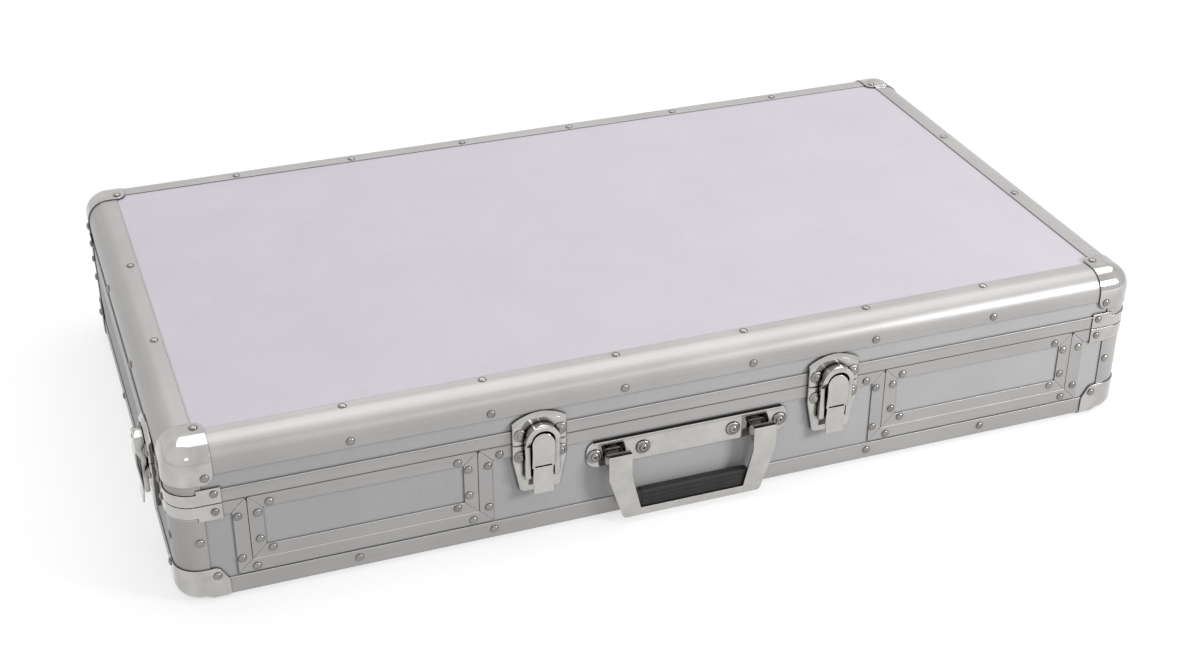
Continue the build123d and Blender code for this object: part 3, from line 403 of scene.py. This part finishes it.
def finish_of(node):
    """The material of a CAD node."""
    if node == "handle_grip":
        return black_grip
    if node.startswith("bay_divider"):
        return board
    if "foam" in node:
        return foam
    if node in ("lid_panel", "base_floor"):
        return top_sheet
    if "wall" in node or node in ("front_panel_left", "front_panel_right"):
        return shaded_side_sheet
    if node in ("lid_corners", "foot_corners"):
        return corner_chrome
    if "corner_posts" in node:
        return along_z
    if node in ("handle_frame", "base_rim_braces", "lid_rim_braces"):
        return bright
    if node in ("lid_edge_left", "lid_edge_right", "bottom_angle_left", "bottom_angle_right"):
        return along_y
    if any(word in node for word in ("edge", "rim", "angle", "edging", "frame")):
        return along_x
    if "rivets" in node:
        return dark_reflection_rivet_metal
    return bright


for node_name, node_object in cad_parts.items():
    node_object.data.materials.clear()
    node_object.data.materials.append(finish_of(node_name))
    for polygon in node_object.data.polygons:
        polygon.material_index = 0


# Meshes

def mesh_object(name, mesh, material, smooth=True):
    """Turn a bmesh into a shown object."""
    data = bpy.data.meshes.new(name)
    mesh.to_mesh(data)
    mesh.free()
    data.materials.append(material)
    if smooth:
        for polygon in data.polygons:
            polygon.use_smooth = True
    item = bpy.data.objects.new(name, data)
    bpy.context.scene.collection.objects.link(item)
    return item


def band_of_faces(mesh, lower, upper):
    """A closed band of faces between two rings of as many points."""
    for index in range(len(lower)):
        after = (index + 1) % len(lower)
        mesh.faces.new((lower[index], lower[after], upper[after], upper[index]))


def turned_form(mesh, seat, sections, segments):
    """Turn rings of radius and height about the seat's axis, close them below and return the last ring."""
    rings = []
    for radius, height in sections:
        ring = []
        for index in range(segments):
            angle = 2 * math.pi * index / segments
            spot = Vector((radius * math.cos(angle), radius * math.sin(angle), height))
            ring.append(mesh.verts.new(seat @ spot))
        rings.append(ring)
    for lower, upper in zip(rings, rings[1:]):
        band_of_faces(mesh, lower, upper)
    mesh.faces.new(list(reversed(rings[0])))
    return rings[-1]


def seat_on(place, outward):
    """The frame of a rivet: its origin on the face, its Z axis outward."""
    turn = Vector((0, 0, 1)).rotation_difference(Vector(outward)).to_matrix().to_4x4()
    return Matrix.Translation(Vector(place)) @ turn


# Rivets

def domed_head(mesh, seat, radius, rise):
    """One domed rivet head, with a fine step at its rim."""
    sections = [(radius, -HEAD_SUNK), (radius, HEAD_STEP)]
    for band in range(1, HEAD_BANDS):
        angle = math.pi / 2 * band / HEAD_BANDS
        sections.append((radius * math.cos(angle), HEAD_STEP + (rise - HEAD_STEP) * math.sin(angle)))
    ring = turned_form(mesh, seat, sections, HEAD_SEGMENTS)
    tip = mesh.verts.new(seat @ Vector((0, 0, rise)))
    for first, second in zip(ring, ring[1:] + ring[:1]):
        mesh.faces.new((first, second, tip))


def pop_rivet_head(mesh, seat):
    """A hollow pop rivet: a domed flange, a pressed ring and a bore, whose floor has the second material, a
    near-black painted shade.
    """
    # Radius and height of each ring, in millimetres
    flange = [(4.5, -0.2), (4.5, 0.35), (4.35, 0.9), (3.6, 1.7), (2.9, 2.1), (2.45, 2.15)]
    ring_and_bore = [(2.3, 1.95), (2.1, 2.15), (1.65, 2.25), (1.3, 2.1), (1.15, 1.8)]
    sections = [(radius * MM, height * MM) for radius, height in flange + ring_and_bore]
    floor = mesh.faces.new(turned_form(mesh, seat, sections, POP_SEGMENTS))
    floor.material_index = 1


def rivet_piece(name, mesh, body):
    """Rivet heads as one piece that rides on a body."""
    item = mesh_object(name, mesh, dark_reflection_rivet_metal)
    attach(item, body)
    return item


def rivet_field(name, body, spots, head=PROFILE_RIVET):
    """A set of domed heads on one body; each spot is a place and an outward direction."""
    mesh = bmesh.new()
    for place, outward in spots:
        domed_head(mesh, seat_on(place, outward), *head)
    rivet_piece(name, mesh, body)


def pop_rivet_field(name, body, spots):
    """A set of hollow pop rivets on one body, each bore's floor painted near-black as shade."""
    mesh = bmesh.new()
    for place, outward in spots:
        pop_rivet_head(mesh, seat_on(place, outward))
    item = rivet_piece(name, mesh, body)
    # The near-black floor of each bore is painted shade
    item.data.materials.append(black_grip)


def on_front(x, z, out=0.0):
    """A spot on the front, standing out by the thickness of a sheet."""
    return (x, FRONT - out, z), (0, -1, 0)


def on_back(x, z, out=0.0):
    """A spot on the back."""
    return (x, BACK + out, z), (0, 1, 0)


def on_side(side, y, z, out=0.0):
    """A spot on the left side, -1, or the right one, 1."""
    return (side * (HALF_LENGTH + out), y, z), (side, 0, 0)


def on_top(x, y, out=0.0):
    """A spot on the lid."""
    return (x, y, TOP + out), (0, 0, 1)


def row_spots(row_x, z):
    """A row of rivets round the case at one height, at the given distances on the front and back."""
    spots = []
    for sign in (-1, 1):
        for x in row_x:
            spots.append(on_front(sign * x, z))
            spots.append(on_back(sign * x, z))
        for y in (-SIDE_ROW_Y, SIDE_ROW_Y):
            spots.append(on_side(sign, MIDDLE + y, z))
    return spots


def top_spots():
    """A row of rivets in the top flange of the rounded edge profiles."""
    spots = []
    for sign in (-1, 1):
        for x in LID_ROW_X:
            spots.append(on_top(sign * x, FRONT + TOP_INSET))
            spots.append(on_top(sign * x, BACK - TOP_INSET))
        for y in (-SIDE_ROW_Y, SIDE_ROW_Y):
            spots.append(on_top(sign * (HALF_LENGTH - TOP_SIDE_INSET), MIDDLE + y))
    return spots


def corner_spots(reach, z, out):
    """One rivet on each face of the four corners, a reach in from the edge."""
    spots = []
    for sign in (-1, 1):
        spots.append(on_front(sign * (HALF_LENGTH - reach), z, out))
        spots.append(on_back(sign * (HALF_LENGTH - reach), z, out))
        spots.append(on_side(sign, FRONT + reach, z, out))
        spots.append(on_side(sign, BACK - reach, z, out))
    return spots


def corner_top_spots():
    """One rivet on top of each lid corner."""
    return [
        on_top(sign * (HALF_LENGTH - CORNER_TOP_INSET), y, CORNER_SHELL)
        for sign in (-1, 1)
        for y in (FRONT + CORNER_TOP_INSET, BACK - CORNER_TOP_INSET)
    ]


def opening_spots():
    """Rivets in the channel round each front opening, in its panel's frame and in the rim beside it."""
    # Distance from the middle and height above the underside, in millimetres
    channel = [(x, z) for x in (440.5, 204.2) for z in (85.5, 38.5)] + [(427.5, 26.8), (220.0, 26.8)]
    frame_posts = [(x, z) for x in (422.3, 223.5) for z in (85.5, 56.5)]
    frame_rails = [(411.5, 44.3), (235.0, 44.3), (411.0, 95.3), (233.5, 95.3)]
    rim = [(192.5, 95.8)]
    return [
        on_front(sign * x * MM, BOTTOM + z * MM)
        for x, z in channel + frame_posts + frame_rails + rim
        for sign in (-1, 1)
    ]


def hinge_spots(z):
    """Three small rivets across each hinge leaf."""
    low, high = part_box("hinge_pins")
    centre = (high.x - low.x) / 2 - HINGE_HALF
    return [
        on_back(sign * centre + step * HINGE_PITCH, z, HINGE_LEAF)
        for sign in (-1, 1)
        for step in (-1, 0, 1)
    ]


def head_boxes(node):
    """Lowest and highest corner of each rivet head of a CAD node, read from its mesh."""
    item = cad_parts[node]
    mesh = bmesh.new()
    mesh.from_mesh(item.data)
    mesh.transform(item.matrix_world)
    loose = set(mesh.verts)
    boxes = []
    while loose:
        head = {loose.pop()}
        waiting = list(head)
        while waiting:
            vertex = waiting.pop()
            for link in vertex.link_edges:
                other = link.other_vert(vertex)
                if other in loose:
                    loose.discard(other)
                    head.add(other)
                    waiting.append(other)
        low = Vector([min(vertex.co[axis] for vertex in head) for axis in range(3)])
        high = Vector([max(vertex.co[axis] for vertex in head) for axis in range(3)])
        boxes.append((low, high))
    mesh.free()
    return boxes


def head_spots(node):
    """Seat and outward direction of each rivet head of a CAD node."""
    spots = []
    for low, high in head_boxes(node):
        middle = (low + high) / 2
        if high.y - low.y < high.x - low.x:
            spots.append(((middle.x, high.y, middle.z), (0, -1, 0)))
        elif middle.x < 0:
            spots.append(((high.x, middle.y, middle.z), (-1, 0, 0)))
        else:
            spots.append(((low.x, middle.y, middle.z), (1, 0, 0)))
    return spots


rivet_field("keeper_rivet_heads", "lid", head_spots("keeper_rivets"), LATCH_RIVET)
rivet_field("latch_rivet_heads", "base", head_spots("latch_plate_rivets"), LATCH_RIVET)
pop_rivet_field("handle_rivet_heads", "base", head_spots("handle_rivets"))
rivet_field("lid_edge_rivets", "lid", row_spots(LID_ROW_X, FLANGE_Z) + top_spots())
rivet_field("lid_corner_rivets", "lid", corner_spots(*LID_CORNER) + corner_top_spots())
rivet_field("lid_brace_rivets", "lid", corner_spots(*LID_BRACE), BRACE_RIVET)
rivet_field("base_profile_rivets", "base", row_spots(BASE_ROW_X, ANGLE_Z) + corner_spots(*CORNER_POST))
rivet_field("base_brace_rivets", "base", corner_spots(*BASE_BRACE), BRACE_RIVET)
rivet_field("foot_corner_rivets", "base", corner_spots(*FOOT_CORNER))
rivet_field("front_opening_rivets", "base", opening_spots())
rivet_field("hinge_lid_rivets", "lid", hinge_spots(JOINT + HINGE_PITCH), HINGE_RIVET)
rivet_field("hinge_base_rivets", "base", hinge_spots(JOINT - HINGE_PITCH), HINGE_RIVET)


# Grip

def grip_outline(low, high):
    """Section of the grip ends: the CAD grip's, a little smaller, with rounded corners."""
    middle_y = (low.y + high.y) / 2
    middle_z = (low.z + high.z) / 2
    flat_y = (high.y - low.y) / 2 - GRIP_END_INSET - GRIP_END_ROUND
    flat_z = (high.z - low.z) / 2 - GRIP_END_INSET - GRIP_END_ROUND
    outline = []
    for turn_y, turn_z, start in ((1, 1, 0), (-1, 1, 90), (-1, -1, 180), (1, -1, 270)):
        for step in range(GRIP_ARC_STEPS + 1):
            angle = math.radians(start + 90 * step / GRIP_ARC_STEPS)
            outline.append((
                middle_y + turn_y * flat_y + GRIP_END_ROUND * math.cos(angle),
                middle_z + turn_z * flat_z + GRIP_END_ROUND * math.sin(angle),
            ))
    return outline


def grip_ends():
    """Ends of the rubber grip, which run on behind both arms of the handle."""
    low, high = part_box("handle_grip")
    outline = grip_outline(low, high)
    mesh = bmesh.new()
    for side in (-1, 1):
        inner, outer = side * (high.x - GRIP_END_LAP), side * GRIP_REACH
        rings = [[mesh.verts.new((x, y, z)) for y, z in outline] for x in (inner, outer)]
        band_of_faces(mesh, *rings)
        for ring in rings:
            mesh.faces.new(ring)
    bmesh.ops.recalc_face_normals(mesh, faces=mesh.faces)
    item = mesh_object("handle_grip_ends", mesh, black_grip, smooth=False)
    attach(item, "handle")


grip_ends()


# Foam

def foam_sink(x, y, low, high, egg_crate):
    """How far the face of a pad lies below its box: rounded edges, waves and a slightly uneven cut."""
    border = min(x - low.x, high.x - x, y - low.y, high.y - y)
    sink = 0.0
    if border < FOAM_EDGE:
        sink = FOAM_EDGE_DROP * FOAM_EDGE * (1 - border / FOAM_EDGE) ** 2
    if egg_crate:
        ripple = math.sin(2 * math.pi * x / FOAM_WAVE) * math.sin(2 * math.pi * y / FOAM_WAVE)
        depth = FOAM_WAVE_DEPTH * (high.z - low.z)
        sink += depth * (1 - ripple) / 2 * min(1.0, border / (2 * FOAM_EDGE))
    return sink + FOAM_UNEVEN * (1 + noise.noise(Vector((x, y, 0)) * FOAM_UNEVEN_SCALE)) / 2


def foam_slab(name, low, high, body, egg_crate, facing):
    """A foam pad that fills a box, with its shaped face up, 1, or down, -1."""
    columns = max(4, round((high.x - low.x) / FOAM_STEP))
    rows = max(4, round((high.y - low.y) / FOAM_STEP))
    face_z, back_z = (high.z, low.z) if facing > 0 else (low.z, high.z)
    mesh = bmesh.new()
    grid = []
    for row in range(rows + 1):
        y = low.y + (high.y - low.y) * row / rows
        line = []
        for column in range(columns + 1):
            x = low.x + (high.x - low.x) * column / columns
            z = face_z - facing * foam_sink(x, y, low, high, egg_crate)
            line.append(mesh.verts.new((x, y, z)))
        grid.append(line)
    for near, far in zip(grid, grid[1:]):
        for column in range(columns):
            mesh.faces.new((near[column], near[column + 1], far[column + 1], far[column]))
    border_edges = [edge for edge in mesh.edges if edge.is_boundary]
    made = bmesh.ops.extrude_edge_only(mesh, edges=border_edges)
    for part in made["geom"]:
        if isinstance(part, bmesh.types.BMVert):
            part.co.z = back_z
    open_edges = [edge for edge in mesh.edges if edge.is_boundary]
    bmesh.ops.contextual_create(mesh, geom=open_edges)
    bmesh.ops.recalc_face_normals(mesh, faces=mesh.faces)
    item = mesh_object(name, mesh, foam)
    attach(item, body)
    return item


lid_foam_low, lid_foam_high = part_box("lid_foam")
lid_pad = foam_slab("lid_foam_pad", lid_foam_low, lid_foam_high, "lid", egg_crate=True, facing=-1)
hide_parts("lid_foam")

floor_low, floor_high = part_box("floor_foam")
left_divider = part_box("bay_divider_left")
right_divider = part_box("bay_divider_right")
bays = [
    (floor_low.x, left_divider[0].x - FOAM_GAP),
    (left_divider[1].x + FOAM_GAP, right_divider[0].x - FOAM_GAP),
    (right_divider[1].x + FOAM_GAP, floor_high.x),
]
for number, (left, right) in enumerate(bays, start=1):
    low = Vector((left, floor_low.y, floor_low.z))
    high = Vector((right, floor_high.y, floor_high.z))
    pad = foam_slab(f"floor_foam_pad_{number}", low, high, "base", egg_crate=False, facing=1)
    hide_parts("floor_foam")


# Floor, light and camera

def seen_rays(tree):
    """One for camera, glossy and transmission rays, nought for the rays that light the case."""
    path = tree.nodes.new("ShaderNodeLightPath")
    seen = math_node(tree, "MAXIMUM", path.outputs["Is Camera Ray"], path.outputs["Is Glossy Ray"])
    return math_node(tree, "MAXIMUM", seen, path.outputs["Is Transmission Ray"])


def floor_material():
    """White floor: lifted to plain white for the camera, with the case's soft shadow kept."""
    material, tree, shader, _ = shader_tree("studio_floor")
    shader.inputs["Base Color"].default_value = (FLOOR_GREY, FLOOR_GREY, FLOOR_GREY, 1)
    shader.inputs["Roughness"].default_value = 0.9
    shader.inputs["Specular IOR Level"].default_value = 0.0
    shader.inputs["Emission Color"].default_value = (1, 1, 1, 1)
    lift = math_node(tree, "MULTIPLY", seen_rays(tree), FLOOR_LIFT)
    tree.links.new(lift, shader.inputs["Emission Strength"])
    return material


def studio_floor():
    """The surface that the case stands on, wide enough to reach past the view."""
    mesh = bmesh.new()
    corners = ((-1, -1), (1, -1), (1, 1), (-1, 1))
    mesh.faces.new([mesh.verts.new((x * FLOOR_HALF, y * FLOOR_HALF, 0.0)) for x, y in corners])
    item = mesh_object("studio_floor", mesh, floor_material(), smooth=False)


def studio_world():
    """Soft even light, and a plain white room for the camera and for reflections."""
    world = bpy.data.worlds.new("studio")
    bpy.context.scene.world = world
    world.use_nodes = True
    tree = world.node_tree
    background = tree.nodes["Background"]
    background.inputs["Color"].default_value = (1, 1, 1, 1)
    strength = ramp_node(tree, seen_rays(tree), (0.0, 1.0), (WORLD_LIGHT, WORLD_SEEN))
    tree.links.new(strength, background.inputs["Strength"])


def area_light(name, place, target, size, power):
    """A rectangular lamp that faces a target: places and size in metres, power in watts."""
    data = bpy.data.lights.new(name, "AREA")
    data.shape = "RECTANGLE"
    data.size, data.size_y = size
    data.energy = power
    lamp = bpy.data.objects.new(name, data)
    bpy.context.scene.collection.objects.link(lamp)
    lamp.location = place
    lamp.rotation_euler = (Vector(target) - Vector(place)).to_track_quat("-Z", "Y").to_euler()


def studio_camera():
    """Camera at the photograph's viewpoint: yaw and pitch of its line of sight, then a small roll."""
    data = bpy.data.cameras.new("photo_camera")
    data.sensor_fit = "HORIZONTAL"
    data.sensor_width = SENSOR_WIDTH
    data.lens = FOCAL_PIXELS / IMAGE_WIDTH * SENSOR_WIDTH
    data.clip_start = CLIP_NEAR
    data.clip_end = CLIP_FAR
    camera = bpy.data.objects.new("photo_camera", data)
    bpy.context.scene.collection.objects.link(camera)
    x, y, z = CAMERA_FROM_FRONT
    ahead = Vector((
        math.sin(CAMERA_YAW) * math.cos(CAMERA_PITCH),
        math.cos(CAMERA_YAW) * math.cos(CAMERA_PITCH),
        -math.sin(CAMERA_PITCH),
    ))
    right = Vector((math.cos(CAMERA_YAW), -math.sin(CAMERA_YAW), 0))
    up = right.cross(ahead)
    turned_right = right * math.cos(CAMERA_ROLL) + up * math.sin(CAMERA_ROLL)
    turned_up = up * math.cos(CAMERA_ROLL) - right * math.sin(CAMERA_ROLL)
    turn = Matrix((turned_right, turned_up, -ahead)).transposed().to_4x4()
    camera.matrix_world = Matrix.Translation(Vector((x, FRONT + y, BOTTOM + z))) @ turn
    bpy.context.scene.camera = camera


studio_floor()
studio_world()
area_light("key_overhead", place=(0.5, 0.7, 3.0), target=(0.3, 0.3, 0), size=(4.4, 3.2), power=70)
area_light("fill_right", place=(1.6, -1.6, 1.0), target=(0.4, -0.2, 0.1), size=(0.6, 0.6), power=24)
area_light("glint_left", place=(-1.0, -2.9, 1.7), target=(0, -0.3, 0.1), size=(0.45, 0.28), power=3)
area_light("glint_right", place=(0.5, -3.0, 1.8), target=(0, -0.3, 0.1), size=(0.45, 0.28), power=3)
studio_camera()
bpy.context.scene.view_settings.view_transform = "Standard"
